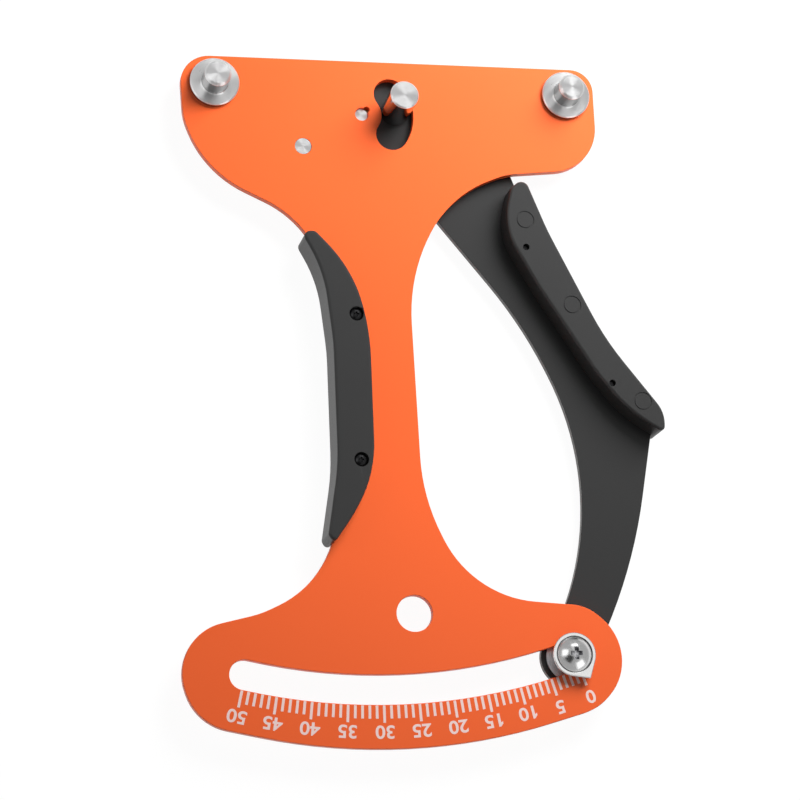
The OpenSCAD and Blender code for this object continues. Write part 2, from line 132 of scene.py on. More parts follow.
def picked(piece, test):
    # Edit mode, with only the points that pass the test selected
    onlyThis(piece)
    pickBy("point")
    bpy.ops.object.mode_set(mode="EDIT")
    bpy.ops.mesh.select_all(action="DESELECT")
    bpy.ops.object.mode_set(mode="OBJECT")
    for vertex in piece.data.vertices:
        vertex.select = test(vertex.co)
    bpy.ops.object.mode_set(mode="EDIT")


def drawnUp(rise):
    # Extrudes what is selected straight up, by millimetres
    bpy.ops.mesh.extrude_region_move(TRANSFORM_OT_translate={"value": (0, 0, rise * mm)})


def rounded(piece, width, steps=3, angle=30):
    return modified(piece, "BEVEL", width=width * mm, segments=steps, limit_method="ANGLE",
                    angle_limit=math.radians(angle), miter_outer="MITER_ARC")


def smooth(piece, angle):
    onlyThis(piece)
    bpy.ops.object.shade_smooth_by_angle(angle=math.radians(angle))
    return modified(piece, "WEIGHTED_NORMAL", keep_sharp=True, weight=60)


def merged(piece, gap=0.0005):
    onlyThis(piece)
    editAll()
    bpy.ops.mesh.remove_doubles(threshold=gap * mm)
    bpy.ops.mesh.normals_make_consistent(inside=False)
    editDone()
    return piece


def flattened(piece, angle=0.3):
    # Joins the faces that lie in one plane
    onlyThis(piece)
    editAll()
    bpy.ops.mesh.dissolve_limited(angle_limit=math.radians(angle))
    editDone()
    return piece


def copyOf(node, name):
    # A copy of a CAD node with its loose triangles joined into whole faces
    onlyThis(nodes[node])
    bpy.ops.object.duplicate()
    piece = named(name)
    piece.parent = None
    for key in list(piece.keys()):
        del piece[key]
    piece.data.materials.clear()
    return flattened(merged(piece))


def turned(name, profile, place, sides=72):
    # A lathe piece: a disc, then ring after ring drawn up along a profile of (radius, height)
    radius, height = profile[0]
    nothingSelected()
    bpy.ops.mesh.primitive_circle_add(vertices=sides, radius=radius * mm, fill_type="NGON",
                                      location=spot(place.x, place.y, height))
    piece = named(name)
    editAll()
    for nextRadius, nextHeight in profile[1:]:
        drawnUp(nextHeight - height)
        growth = nextRadius / radius
        if nextRadius != radius:
            bpy.ops.transform.resize(value=(growth, growth, 1),
                                     center_override=spot(place.x, place.y, nextHeight))
        radius, height = nextRadius, nextHeight
    editDone()
    return settle(merged(piece))


def plateFrom(node, name, sheet):
    # Sheet metal: the outline and the holes of a CAD node's front face, filled as a flat curve
    # that is given its thickness and its rounded edges
    front, back, edge = sheet["front"], sheet["back"], sheet["edge"]
    piece = onlyThis(copyOf(node, name))
    pickBy("face")
    faceZ = datum.z + front * mm
    for face in piece.data.polygons:
        atFront = abs(face.center.z - faceZ) < 0.02 * mm
        face.select = not (atFront and face.normal.z > 0.9)
    bpy.ops.object.mode_set(mode="EDIT")
    bpy.ops.mesh.delete(type="FACE")
    bpy.ops.mesh.select_all(action="SELECT")
    bpy.ops.mesh.region_to_loop()
    pickBy("edge")
    bpy.ops.mesh.select_all(action="INVERT")
    bpy.ops.mesh.delete(type="EDGE")
    pickBy("point")
    bpy.ops.mesh.select_all(action="SELECT")
    bpy.ops.transform.translate(value=(0, 0, -faceZ))
    editDone()
    bpy.ops.object.convert(target="CURVE")
    outline = piece.data
    outline.dimensions = "2D"
    outline.fill_mode = "BOTH"
    outline.bevel_depth = edge * mm
    outline.bevel_resolution = 3
    outline.offset = -edge * mm
    outline.extrude = ((front - back) / 2 - edge) * mm
    bpy.ops.object.convert(target="MESH")
    piece = named(name)
    piece.location.z = datum.z + (front + back) / 2 * mm
    return flattened(merged(settle(piece)))


def standsFor(piece, body, slot, *replaced):
    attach(piece, body)
    if replaced:
        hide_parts(*replaced)
    return piece


class Wire:
    # A socket that Python's operators can work on
    def __init__(self, web, socket):
        self.web, self.socket = web, socket

    def beside(self, name):
        # Another output of the same node
        return Wire(self.web, self.socket.node.outputs[name])

    def math(self, operation, first, second, clamp=False):
        return self.web.add("Math", {"operation": operation, "use_clamp": clamp},
                            {0: first, 1: second})

    def __add__(self, other):
        return self.math("ADD", self, other)

    def __sub__(self, other):
        return self.math("SUBTRACT", self, other)

    def __rsub__(self, other):
        return self.math("SUBTRACT", other, self)

    def __mul__(self, other):
        return self.math("MULTIPLY", self, other)

    def clamped(self):
        return self.math("ADD", self, 0.0, clamp=True)

    __radd__, __rmul__ = __add__, __mul__


class NodeWeb:
    # The nodes of a material or of the world
    def __init__(self, owner, shader):
        owner.use_nodes = True
        self.tree = owner.node_tree
        self.shader = self.tree.nodes[shader]

    def add(self, kind, settings=None, values=None, out=0):
        node = self.tree.nodes.new("ShaderNode" + kind)
        for key, value in (settings or {}).items():
            setattr(node, key, value)
        for key, value in (values or {}).items():
            self.give(node.inputs[key], value)
        return Wire(self, node.outputs[out])

    def give(self, socket, value):
        if isinstance(value, Wire):
            self.tree.links.new(value.socket, socket)
        else:
            socket.default_value = value

    def feed(self, **values):
        for key, value in values.items():
            self.give(self.shader.inputs[key.replace("_", " ")], value)


class Finish(NodeWeb):
    # One material, with the patterns that its finish is made of
    def __init__(self, name, **constants):
        self.material = bpy.data.materials.new(name)
        super().__init__(self.material, "Principled BSDF")
        self.feed(**constants)

    def place(self, centre=None):
        # Object coordinates in metres, from a piece's own centre where one is given
        where = self.add("TexCoord", out="Object")
        if centre is None:
            return where
        moved = self.add("VectorMath", {"operation": "SUBTRACT"}, {0: where, 1: tuple(centre)})
        return self.add("Mapping", None, {"Vector": moved})

    def noise(self, where, size, detail=2.0, rough=0.5):
        # size is the grain's width in millimetres
        return self.add("TexNoise", None, {"Vector": where, "Scale": 1 / (size * mm),
                                           "Detail": detail, "Roughness": rough})

    def mix(self, share, first, second):
        return self.add("Mix", {"data_type": "RGBA"}, {0: share, 6: first, 7: second}, out=2)

    def varied(self, share, look):
        # The look's colour, from a little darker to a little lighter
        darker = tone(look["colour"], 1 - look["vary"])
        lighter = tone(look["colour"], 1 + look.get("varyUp", look["vary"]))
        return self.mix(share.clamped(), darker, lighter)

    def bump(self, height, strength, deep):
        return self.add("Bump", None, {"Height": height, "Strength": strength,
                                       "Distance": deep * mm})

    def done(self, base, rough, normal):
        self.feed(Base_Color=base, Roughness=rough, Normal=normal)
        return self.material


def tone(shade, factor):
    # A colour as it is seen on screen, made linear and then lighter or darker
    linear = [c / 12.92 if c <= 0.04045 else ((c + 0.055) / 1.055) ** 2.4 for c in shade]
    return (*(min(c * factor, 1) for c in linear), 1)


# Grain widths and depths are in millimetres, and a rough value is how far it sways the roughness
enamelGrain = {"cloud": 60, "cloudShare": 0.6, "cloudRough": 0.06,
               "fleck": 0.45, "fleckShare": 0.4, "fleckRough": 0.12, "peelBump": 0.25}


def enamel(name, look):
    # Sprayed and baked coating: even colour, fine orange peel, a little dust in it
    finish = Finish(name, IOR=1.5, Specular_IOR_Level=look["gloss"])
    grain, where = enamelGrain, finish.place()
    cloud = finish.noise(where, grain["cloud"], detail=3)
    fleck = finish.noise(where, grain["fleck"], rough=0.7)
    peel = finish.noise(where, look["peel"])
    base = finish.varied(cloud * grain["cloudShare"] + fleck * grain["fleckShare"], look)
    sway = (fleck - 0.5) * grain["fleckRough"] + (cloud - 0.5) * grain["cloudRough"]
    normal = finish.bump(peel, grain["peelBump"], look["peelDeep"])
    return finish.done(base, look["rough"] + sway, normal)


mouldGrain = {"cloud": 25, "cloudShare": 0.5, "grainShare": 0.5, "grainRough": 0.25}


def moulding(name, look):
    # Moulded plastic: spark-eroded grain, faint flow cloud, slightly polished high spots
    finish = Finish(name, IOR=1.47, Specular_IOR_Level=look["gloss"])
    grain, where = mouldGrain, finish.place()
    spark = finish.noise(where, look["grain"], detail=3, rough=0.6)
    cloud = finish.noise(where, grain["cloud"])
    base = finish.varied(cloud * grain["cloudShare"] + spark * grain["grainShare"], look)
    normal = finish.bump(spark, look["strength"], look["deep"])
    return finish.done(base, look["rough"] + (spark - 0.5) * grain["grainRough"], normal)


turnedGrain = {"ringShare": 0.45, "ringRough": 0.07, "stain": 2.0, "stainShare": 0.35,
               "stainRough": 0.06, "fine": 0.3, "fineShare": 0.2, "fineBump": 0.5}


def turnedMetal(name, look, centre):
    # Lathe-turned metal: the tool's finest rings spread the light outwards, and a few coarser
    # ones show
    finish = Finish(name, Metallic=1.0, Anisotropic=look["grain"], Anisotropic_Rotation=0.25)
    grain, where = turnedGrain, finish.place(centre)
    flat = finish.add("VectorMath", {"operation": "MULTIPLY"}, {0: where, 1: (1, 1, 0)})
    radius = finish.add("VectorMath", {"operation": "LENGTH"}, {0: flat}, out="Value")
    ring = finish.add("TexNoise", {"noise_dimensions": "1D"},
                      {"W": radius, "Scale": 1 / (look["ring"] * mm), "Detail": 2.0})
    stain = finish.noise(where, grain["stain"], detail=3)
    fine = finish.noise(where, grain["fine"])
    share = ring * grain["ringShare"] + stain * grain["stainShare"] + fine * grain["fineShare"]
    sway = (ring - 0.5) * grain["ringRough"] + (stain - 0.5) * grain["stainRough"]
    normal = finish.bump(fine * grain["fineBump"] + ring, look["marks"], look["deep"])
    return finish.done(finish.varied(share, look), look["rough"] + sway, normal)


plainGrain = {"stain": 2.5, "stainShare": 0.7, "stainRough": 0.12,
              "fine": 0.2, "fineShare": 0.3, "fineRough": 0.08, "marks": 0.2, "deep": 0.008}


def plainMetal(name, look):
    # Plated, ground or drawn metal without tool marks; a look may bring its own grain
    finish = Finish(name, Metallic=look.get("metal", 1.0))
    grain, where = {**plainGrain, **look}, finish.place()
    stain = finish.noise(where, grain["stain"], detail=3)
    fine = finish.noise(where, grain["fine"])
    base = finish.varied(stain * grain["stainShare"] + fine * grain["fineShare"], look)
    sway = (stain - 0.5) * grain["stainRough"] + (fine - 0.5) * grain["fineRough"]
    normal = finish.bump(fine, grain["marks"], grain["deep"])
    return finish.done(base, look["rough"] + sway, normal)


inkGrain = {"patch": 0.5, "patchRough": 0.1, "bump": 0.1, "deep": 0.01}


def printing(name, look):
    # Screen-printed ink: a thin matt film, a little uneven
    finish = Finish(name, IOR=1.45)
    grain = inkGrain
    patch = finish.noise(finish.place(), grain["patch"], detail=3, rough=0.6)
    normal = finish.bump(patch, grain["bump"], grain["deep"])
    rough = look["rough"] + (patch - 0.5) * grain["patchRough"]
    return finish.done(finish.varied(patch, look), rough, normal)


# Colours as they are seen on screen, grain widths and depths in millimetres
finishes = {
    "plate": {"colour": (1.0, 0.415, 0.2), "vary": 0.05, "rough": 0.38, "gloss": 0.25,
              "peel": 1.1, "peelDeep": 0.03},
    "arm": {"colour": (0.19, 0.19, 0.19), "vary": 0.06, "rough": 0.36, "gloss": 0.25,
            "peel": 0.7, "peelDeep": 0.03},
    # The arm's side walls: the black coat painted lighter, a painted highlight where the walls
    # catch light from the left
    "armEdgePaintedSheen": {"colour": (0.36, 0.36, 0.36), "vary": 0.06, "rough": 0.36, "gloss": 0.25,
                "peel": 0.7, "peelDeep": 0.03},
    "grip": {"colour": (0.19, 0.19, 0.19), "vary": 0.07, "rough": 0.43, "gloss": 0.37,
             "grain": 0.35, "strength": 0.3, "deep": 0.03},
    "steel": {"colour": (0.92, 0.92, 0.92), "vary": 0.045, "rough": 0.3, "grain": 1.0,
              "ring": 0.35, "marks": 0.03, "deep": 0.01},
    # The walls of the posts and pins: ground smooth, and painted darker than the turned faces, a
    # painted shade
    "stem": {"colour": (0.72, 0.72, 0.72), "vary": 0.05, "rough": 0.12, "marks": 0.05},
    "pointer": {"colour": (0.84, 0.84, 0.84), "vary": 0.04, "rough": 0.22},
    "dark": {"colour": (0.17, 0.17, 0.175), "vary": 0.1, "rough": 0.26, "metal": 0.85},
    # The cross recesses: painted shade inside pale heads, painted glints inside black heads
    "recess": {"colour": (0.68, 0.68, 0.69), "vary": 0.2, "rough": 0.22, "stain": 0.6},
    "bronze": {"colour": (0.72, 0.55, 0.33), "vary": 0.08, "rough": 0.34},
    "zinc": {"colour": (0.78, 0.78, 0.79), "vary": 0.06, "rough": 0.42},
    "spring": {"colour": (0.70, 0.70, 0.71), "vary": 0.06, "rough": 0.24},
    "ink": {"colour": (1.0, 0.885, 0.865), "vary": 0.04, "varyUp": 0.0, "rough": 0.5},
}
orange = enamel("orangeEnamel", finishes["plate"])
blackCoat = enamel("blackEnamel", finishes["arm"])
paintedSheenCoat = enamel("blackEnamelPaintedSheen", finishes["armEdgePaintedSheen"])
plastic = moulding("gripPlastic", finishes["grip"])
plated = plainMetal("pointerPlating", finishes["pointer"])
blackSteel = plainMetal("blackSteel", finishes["dark"])
bronze = plainMetal("bushBronze", finishes["bronze"])
zinc = plainMetal("zincSteel", finishes["zinc"])
recessSteel = plainMetal("recessSteel", finishes["recess"])
springSteel = plainMetal("springSteel", finishes["spring"])
groundShadedSteel = plainMetal("groundStemShaded", finishes["stem"])
ink = printing("scaleInk", finishes["ink"])
print("finishes ready")


def dress(piece, material, second=None):
    # The second finish is for the faces that have been marked for it
    marked = [face.material_index for face in piece.data.polygons]
    piece.data.materials.clear()
    piece.data.materials.append(material)
    if second:
        piece.data.materials.append(second)
    for face, mark in zip(piece.data.polygons, marked):
        face.material_index = mark if second else 0
    return piece


def dressWalls(piece, faces, walls):
    # One finish on the faces that lie flat, another on the walls round them
    for face in piece.data.polygons:
        face.material_index = 1 if abs(face.normal.z) < 0.5 else 0
    return dress(piece, faces, walls)


def dressTurned(piece, node):
    # Turned faces keep the tool's rings, the walls round them are ground smooth and take a
    # darker grey, a painted shade on the sides
    steel = turnedMetal(piece.name + "Steel", finishes["steel"], spot(*over(node)))
    return dressWalls(piece, steel, groundShadedSteel)


# The two sheets, in millimetres above the plate's face; edge is how far their edges are rounded
plateSheet = {"front": 0.0, "back": -2.4, "edge": 0.15}
armSheet = {"front": -3.1, "back": -5.1, "edge": 0.14}
plate = smooth(plateFrom("face_plate", "facePlate", plateSheet), angle=50)
standsFor(dress(plate, orange), "plate", "plate", "face_plate")
arm = smooth(plateFrom("swing_arm", "swingArm", armSheet), angle=50)
# Its walls take the lighter coat, a painted highlight along the arm's edges
standsFor(dressWalls(arm, blackCoat, paintedSheenCoat), "arm", "arm", "swing_arm")
print("plate and arm", len(plate.data.polygons), len(arm.data.polygons))

# The posts, in millimetres above the plate's face
fixedPost = {"spigot": 3.0, "spigotEnd": -2.2, "flange": 7.0, "flangeHigh": 1.6, "rim": 0.35,
             "stem": 3.75, "blend": 0.6, "tip": 8.2, "chamfer": 0.7, "edge": 0.07}
movingPost = {"spigot": 3.0, "spigotEnd": -4.9, "stem": 4.05, "foot": -3.1,
              "tip": 11.5, "chamfer": 0.4, "edge": 0.07}


def filletUp(stem, foot, blend, steps=6):
    # The concave corner where a stem rises from its flange
    angles = [math.radians(90 * step / steps) for step in range(steps + 1)]
    return [(stem + blend * (1 - math.sin(angle)), foot + blend * (1 - math.cos(angle)))
            for angle in angles]


def stemTip(look):
    # The stem's last ring and its chamfered end
    return [(look["stem"], look["tip"] - look["chamfer"]),
            (look["stem"] - look["chamfer"], look["tip"])]


def finishedPost(name, node, body, profile, edge):
    post = turned(name, profile, over(node))
    smooth(rounded(post, edge, steps=2), angle=30)
    return standsFor(dressTurned(post, node), body, "turned_steel", node)


def makeFixedPost(name, node):
    look = fixedPost
    high, rim = look["flangeHigh"], look["rim"]
    profile = [(look["spigot"], look["spigotEnd"]), (look["spigot"], 0.0), (look["flange"], 0.0),
               (look["flange"], high - rim), (look["flange"] - rim, high)]
    profile += filletUp(look["stem"], high, look["blend"]) + stemTip(look)
    return finishedPost(name, node, "plate", profile, look["edge"])


def makeMovingPost(name, node):
    look = movingPost
    profile = [(look["spigot"], look["spigotEnd"]), (look["spigot"], look["foot"]),
               (look["stem"], look["foot"])] + stemTip(look)
    return finishedPost(name, node, "arm", profile, look["edge"])


makeFixedPost("leftFixedPost", "left_fixed_post")
makeFixedPost("rightFixedPost", "right_fixed_post")
makeMovingPost("movingPost", "moving_post")
print("posts ready")

# The pivot pin: a neck for the clip behind the arm, then a plain shaft that ends below the face
pivot = {"radius": 1.875, "top": -1.0, "clipRadius": 1.375, "clipHigh": 1.1, "edge": 0.12}
pinLow = level(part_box("pivot_pin")[0].z)
neckTop = pinLow + pivot["clipHigh"]
pin = turned("pivotPin", [(pivot["clipRadius"], pinLow), (pivot["clipRadius"], neckTop),
                          (pivot["radius"], neckTop), (pivot["radius"], pivot["top"])],
             over("pivot_pin"))
smooth(rounded(pin, pivot["edge"], steps=3), angle=30)
standsFor(dressTurned(pin, "pivot_pin"), "plate", "turned_steel", "pivot_pin")

# The anchor stud: flush end, collar behind the plate, groove for the spring's hook
anchor = {"radius": 2.35, "top": -0.04, "collar": 3.15, "collarHigh": 0.4,
          "groove": 1.2, "grooveHigh": 1.0, "edge": 0.12}
hookZ = level(middle("return_spring").z)
grooveLow, grooveTop = hookZ - anchor["grooveHigh"] / 2, hookZ + anchor["grooveHigh"] / 2
collarTop = plateSheet["back"]
collarLow = collarTop - anchor["collarHigh"]
stud = turned("springAnchor", [
    (anchor["radius"], level(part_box("spring_anchor")[0].z)), (anchor["radius"], grooveLow),
    (anchor["groove"], grooveLow), (anchor["groove"], grooveTop),
    (anchor["radius"], grooveTop), (anchor["radius"], collarLow),
    (anchor["collar"], collarLow), (anchor["collar"], collarTop),
    (anchor["radius"], collarTop), (anchor["radius"], anchor["top"]),
], over("spring_anchor"))
smooth(rounded(stud, anchor["edge"], steps=2), angle=30)
standsFor(dressTurned(stud, "spring_anchor"), "plate", "turned_steel", "spring_anchor")
print("pivot ready")

grips = {
    "leftGripFront": ("left_grip_front", "plate"), "leftGripBack": ("left_grip_back", "plate"),
    "rightGripFront": ("right_grip_front", "arm"), "rightGripBack": ("right_grip_back", "arm"),
}
for name, (node, body) in grips.items():
    grip = smooth(copyOf(node, name), angle=34)
    standsFor(dress(grip, plastic), body, "grip", node)
print("grips ready")

# The pointer: a disc with a round well sunk into it for the screw's head
pointerSheet = {"front": 2.6, "back": 1.7, "edge": 0.28}
well = {"radius": 5.1, "floor": 2.1, "draft": 0.15, "cutTop": 3.2, "soften": 0.18}
wellAt = over("pointer_screw")
pointer = plateFrom("pointer", "pointerDisc", pointerSheet)
cutter = turned("wellCutter", [(well["radius"] - well["draft"], well["floor"]),
                               (well["radius"], well["cutTop"])], wellAt)
modified(pointer, "BOOLEAN", object=cutter, operation="DIFFERENCE", solver="EXACT")
bpy.data.objects.remove(cutter)
rounded(flattened(merged(pointer)), well["soften"], steps=2, angle=50)
smooth(pointer, angle=20)
standsFor(dress(pointer, plated), "arm", "pointer_steel", "pointer")

# What the heads of all the cross screws have in common, in millimetres
panForm = {
    "sides": 64, "rings": 10, "crown": 0.12, "footIn": 0.3, "sideIn": 0.25, "sideLow": 0.2,
    "edgeLow": 0.1, "shankEdge": 0.3, "bladeProud": 0.5, "bladeTaper": (0.45, 0.7),
    "shadeOut": 0.1, "shadeDown": 0.15,
}
pointerScrew = {"radius": 4.8, "rim": 0.45, "top": 2.75, "recess": 2.05, "blade": 1.3,
                "deep": 1.6, "soften": 0.1, "shank": 2.0, "length": 5.0}


def domeBall(look):
    # The radius of the ball that a head's dome is a part of
    rise = look["top"] - look["rim"]
    return (look["radius"] ** 2 + rise ** 2) / (2 * rise)


def screwProfile(look):
    # Shank, underside, side and dome, from the tip of the shank to the crown of the head
    radius, rim, shank, length = (look[key] for key in ("radius", "rim", "shank", "length"))
    ball = domeBall(look)
    widest = math.asin(radius / ball)
    leans = [widest * (1 - ring / panForm["rings"]) for ring in range(panForm["rings"] + 1)]
    dome = [(max(ball * math.sin(lean), panForm["crown"]),
             look["top"] - ball * (1 - math.cos(lean))) for lean in leans]
    return [(shank - panForm["shankEdge"], -length), (shank, panForm["shankEdge"] - length),
            (shank, 0.0), (radius - panForm["footIn"], 0.0),
            (radius - panForm["sideIn"], rim - panForm["sideLow"]),
            (radius, rim - panForm["edgeLow"])] + dome


def crossBlade(look, turn):
    # A cutter for one slot of the cross, narrower at its lower end
    high = look["deep"] + panForm["bladeProud"]
    centre = look["top"] - look["deep"] + high / 2
    nothingSelected()
    bpy.ops.mesh.primitive_cube_add(size=1, location=spot(0, 0, centre))
    blade = named("blade")
    blade.scale = (look["recess"] * 2 * mm, look["blade"] * mm, high * mm)
    settle(blade)
    picked(blade, lambda place: place.z < spot(0, 0, centre).z)
    bpy.ops.transform.resize(value=(*panForm["bladeTaper"], 1), center_override=spot(0, 0))
    bpy.ops.mesh.select_all(action="SELECT")
    if turn:
        bpy.ops.transform.rotate(value=math.radians(turn), orient_axis="Z",
                                 center_override=spot(0, 0))
    editDone()
    return blade


def panHead(name, look, x, y, seat, facesBack=False):
    # A cross screw whose head rests on the seat, in millimetres above the plate's face
    screw = turned(name, screwProfile(look), Vector((0, 0, 0)), sides=panForm["sides"])
    for turn in (0, 90):
        blade = crossBlade(look, turn)
        modified(screw, "BOOLEAN", object=blade, operation="DIFFERENCE", solver="EXACT")
        bpy.data.objects.remove(blade)
    rounded(screw, look["soften"], steps=2)
    # The cross gets its own grey inside: painted shade in the pale pointer screw's recess,
    # painted glints in the black grip screws' recesses
    screw.data.materials.append(None)
    screw.data.materials.append(None)
    for face in screw.data.polygons:
        at = (face.center - spot(0, 0)) / mm
        dome = look["top"] - at.xy.length_squared / (2 * domeBall(look))
        inCross = at.xy.length < look["recess"] + panForm["shadeOut"]
        face.material_index = 1 if inCross and 0 < at.z < dome - panForm["shadeDown"] else 0
    if facesBack:
        screw.data.transform(Matrix.Translation(spot(0, 0)) @ Matrix.Rotation(math.pi, 4, "X")
                             @ Matrix.Translation(-spot(0, 0)))
    screw.data.transform(Matrix.Translation(Vector((x, y, seat)) * mm))
    return smooth(screw, angle=32)


screw = panHead("pointerScrew", pointerScrew, wellAt.x, wellAt.y, well["floor"])
standsFor(dress(screw, plated, recessSteel), "arm", "pointer_steel", "pointer_screw")
print("pointer ready")

# The spring's start is where its coils begin, and holdsUntil is a share of its length
spring = {"wire": 0.8, "coil": 1.5, "turns": 7, "perTurn": 28, "hook": 1.7, "hookOpen": 60,
          "hookSteps": 60, "start": 3.6, "leadSteps": 12, "holdsUntil": 0.55}


def springHook():
    # Round its stud, then across to where the coils start
    radius, start, steps = spring["hook"], spring["start"], spring["leadSteps"]
    gap = spring["hookOpen"]
    hook = []
    for step in range(spring["hookSteps"] + 1):
        angle = math.radians(-gap - (360 - 2 * gap) * step / spring["hookSteps"])
        hook.append(Vector((radius * math.cos(angle), radius * math.sin(angle), 0)))
    endX, endY = radius * math.cos(math.radians(gap)), radius * math.sin(math.radians(gap))
    for step in range(1, steps):
        share = step / steps
        hook.append(Vector((endX + (start - endX) * share, endY * math.cos(math.pi * share), 0)))
    return hook


def springPath(run):
    # From one stud's centre to the other's, along x
    start, coil, count = spring["start"], spring["coil"], spring["turns"] * spring["perTurn"]
    body = []
    for step in range(count + 1):
        angle = math.pi - 2 * math.pi * step / spring["perTurn"]
        body.append(Vector((start + (run - 2 * start) * step / count,
                            coil * math.cos(angle), coil * math.sin(angle))))
    hook = springHook()
    return hook + body + [Vector((run - at.x, at.y, -at.z)) for at in reversed(hook)]


anchorAt, pegAt = over("spring_anchor"), over("spring_peg")
along = anchorAt - pegAt
turnBy = Matrix.Rotation(math.atan2(along.y, along.x), 3, "Z")
path = [pegAt + turnBy @ at for at in springPath(along.length)]
line = bpy.data.curves.new("returnSpring", "CURVE")
line.dimensions = "3D"
line.bevel_depth = spring["wire"] / 2 * mm
line.bevel_resolution = 4
line.use_fill_caps = True
strand = line.splines.new("POLY")
strand.points.add(len(path) - 1)
for point, at in zip(strand.points, path):
    point.co = (*spot(at.x, at.y, hookZ + at.z), 1)
coil = bpy.data.objects.new("returnSpring", line)
bpy.context.scene.collection.objects.link(coil)
onlyThis(coil)
bpy.ops.object.convert(target="MESH")
coil = merged(settle(named("returnSpring")))
bpy.ops.object.shade_smooth_by_angle(angle=math.radians(50))
dress(coil, springSteel)
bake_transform(coil)
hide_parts("return_spring")
print("spring ready")

# The left grip's screws go in from the front, the right grip's from behind
gripScrew = {"radius": 1.9, "rim": 0.5, "top": 1.1, "recess": 1.0, "blade": 0.55,
             "deep": 0.7, "soften": 0.04, "shank": 1.1, "length": 9.2}
leftScrews = {"places": ((-13.4, -67.4), (-13.5, -108.5)), "seat": 2.9, "facesBack": False}
rightScrews = {"places": ((35.8, -47), (58.6, -86.1)), "seat": -6.2, "facesBack": True}


def screwPair(name, node, body, look):
    first, second = [panHead(name + str(index), gripScrew, x, y, look["seat"], look["facesBack"])
                     for index, (x, y) in enumerate(look["places"])]
    onlyThis(first)
    second.select_set(True)
    bpy.ops.object.join()
    # The black screws' recesses are painted light grey, painted glints
    return standsFor(dress(named(name), blackSteel, recessSteel), body, "dark_screw", node)


screwPair("leftGripScrews", "left_grip_screws", "plate", leftScrews)
screwPair("rightGripScrews", "right_grip_screws", "arm", rightScrews)
print("screws ready")

# The print: angles in degrees and radii in millimetres about the pivot, sizes in millimetres
scale = {
    "first": -19.13, "pitch": 0.579, "opens": 0.00287, "eases": -0.0000303,
    "lines": 51, "longEvery": 5, "inner": 167.32, "short": 170.85, "long": 171.95,
    "lineWide": 0.74, "film": 0.012, "lift": 0.004,
    "numberAt": 174.45, "firstNumberAt": 175.2, "high": 3.62, "wide": 1.12, "bold": 0.1,
    "fontHigh": 0.73,
}
pivotAt = over("pivot_pin")


def scaleTurn(index):
    # Angle of a line about the pivot, from straight down, positive to the left
    opens = scale["opens"] * index ** 2 + scale["eases"] * index ** 3
    return math.radians(scale["first"] + scale["pitch"] * index + opens)


def onScale(radius, angle, z):
    return spot(pivotAt.x - radius * math.sin(angle), pivotAt.y - radius * math.cos(angle), z)


def scaleLine(index):
    outer = scale["long"] if index % scale["longEvery"] == 0 else scale["short"]
    angle = scaleTurn(index)
    nothingSelected()
    centre = onScale((outer + scale["inner"]) / 2, angle, scale["lift"])
    bpy.ops.mesh.primitive_plane_add(size=1, location=centre)
    mark = named("scaleLines")
    editAll()
    drawnUp(scale["film"])
    editDone()
    mark.scale = (scale["lineWide"] * mm, (outer - scale["inner"]) * mm, 1)
    mark.rotation_euler = (0, 0, -angle)
    return settle(mark)


lines = [scaleLine(index) for index in range(scale["lines"])]
onlyThis(lines[0])
for mark in lines:
    mark.select_set(True)
bpy.ops.object.join()
marks = merged(named("scaleLines"), gap=0.00001)
standsFor(dress(marks, ink), "plate", "plate")

# A stroke this narrow for its height is a 1; the other values are in widths of its bar
flag = {"barShare": 0.25, "start": 0.25, "reach": 1.0, "tip": 1.4, "tipEnd": 2.3, "root": 1.6}


def drawFlag(outline):
    # The built-in font's 1 is a plain bar: it is drawn again with a flag at the top left
    for stroke in outline.splines:
        points = stroke.bezier_points
        left, right = min(p.co.x for p in points), max(p.co.x for p in points)
        low, high = min(p.co.y for p in points), max(p.co.y for p in points)
        wide = right - left
        if len(points) != 4 or wide > flag["barShare"] * (high - low):
            continue
        flagX = left - flag["reach"] * wide
        corners = [(right, high), (left + flag["start"] * wide, high),
                   (flagX, high - flag["tip"] * wide), (flagX, high - flag["tipEnd"] * wide),
                   (left, high - flag["root"] * wide), (left, low), (right, low)]
        points.add(len(corners) - len(points))
        for point, corner in zip(points, corners):
            point.handle_left_type = point.handle_right_type = "VECTOR"
            point.co = (*corner, 0)


eye = {"tallest": 0.45, "doubled": 0.05}  # A share of the figures' height, and millimetres


def openEyes(outline):
    # The eye of a 4 has a doubled corner, which a bold stroke turns inside out: one of the two
    # moves along the side
    for stroke in outline.splines:
        points = stroke.bezier_points
        heights = [point.co.y for point in points]
        if max(heights) - min(heights) > eye["tallest"] * scale["high"] * mm:
            continue
        for index, point in enumerate(points):
            double = points[index - 1]
            if (point.co - double.co).length < eye["doubled"] * mm:
                double.handle_left_type = double.handle_right_type = "VECTOR"
                double.co = (points[index - 2].co + point.co) / 2


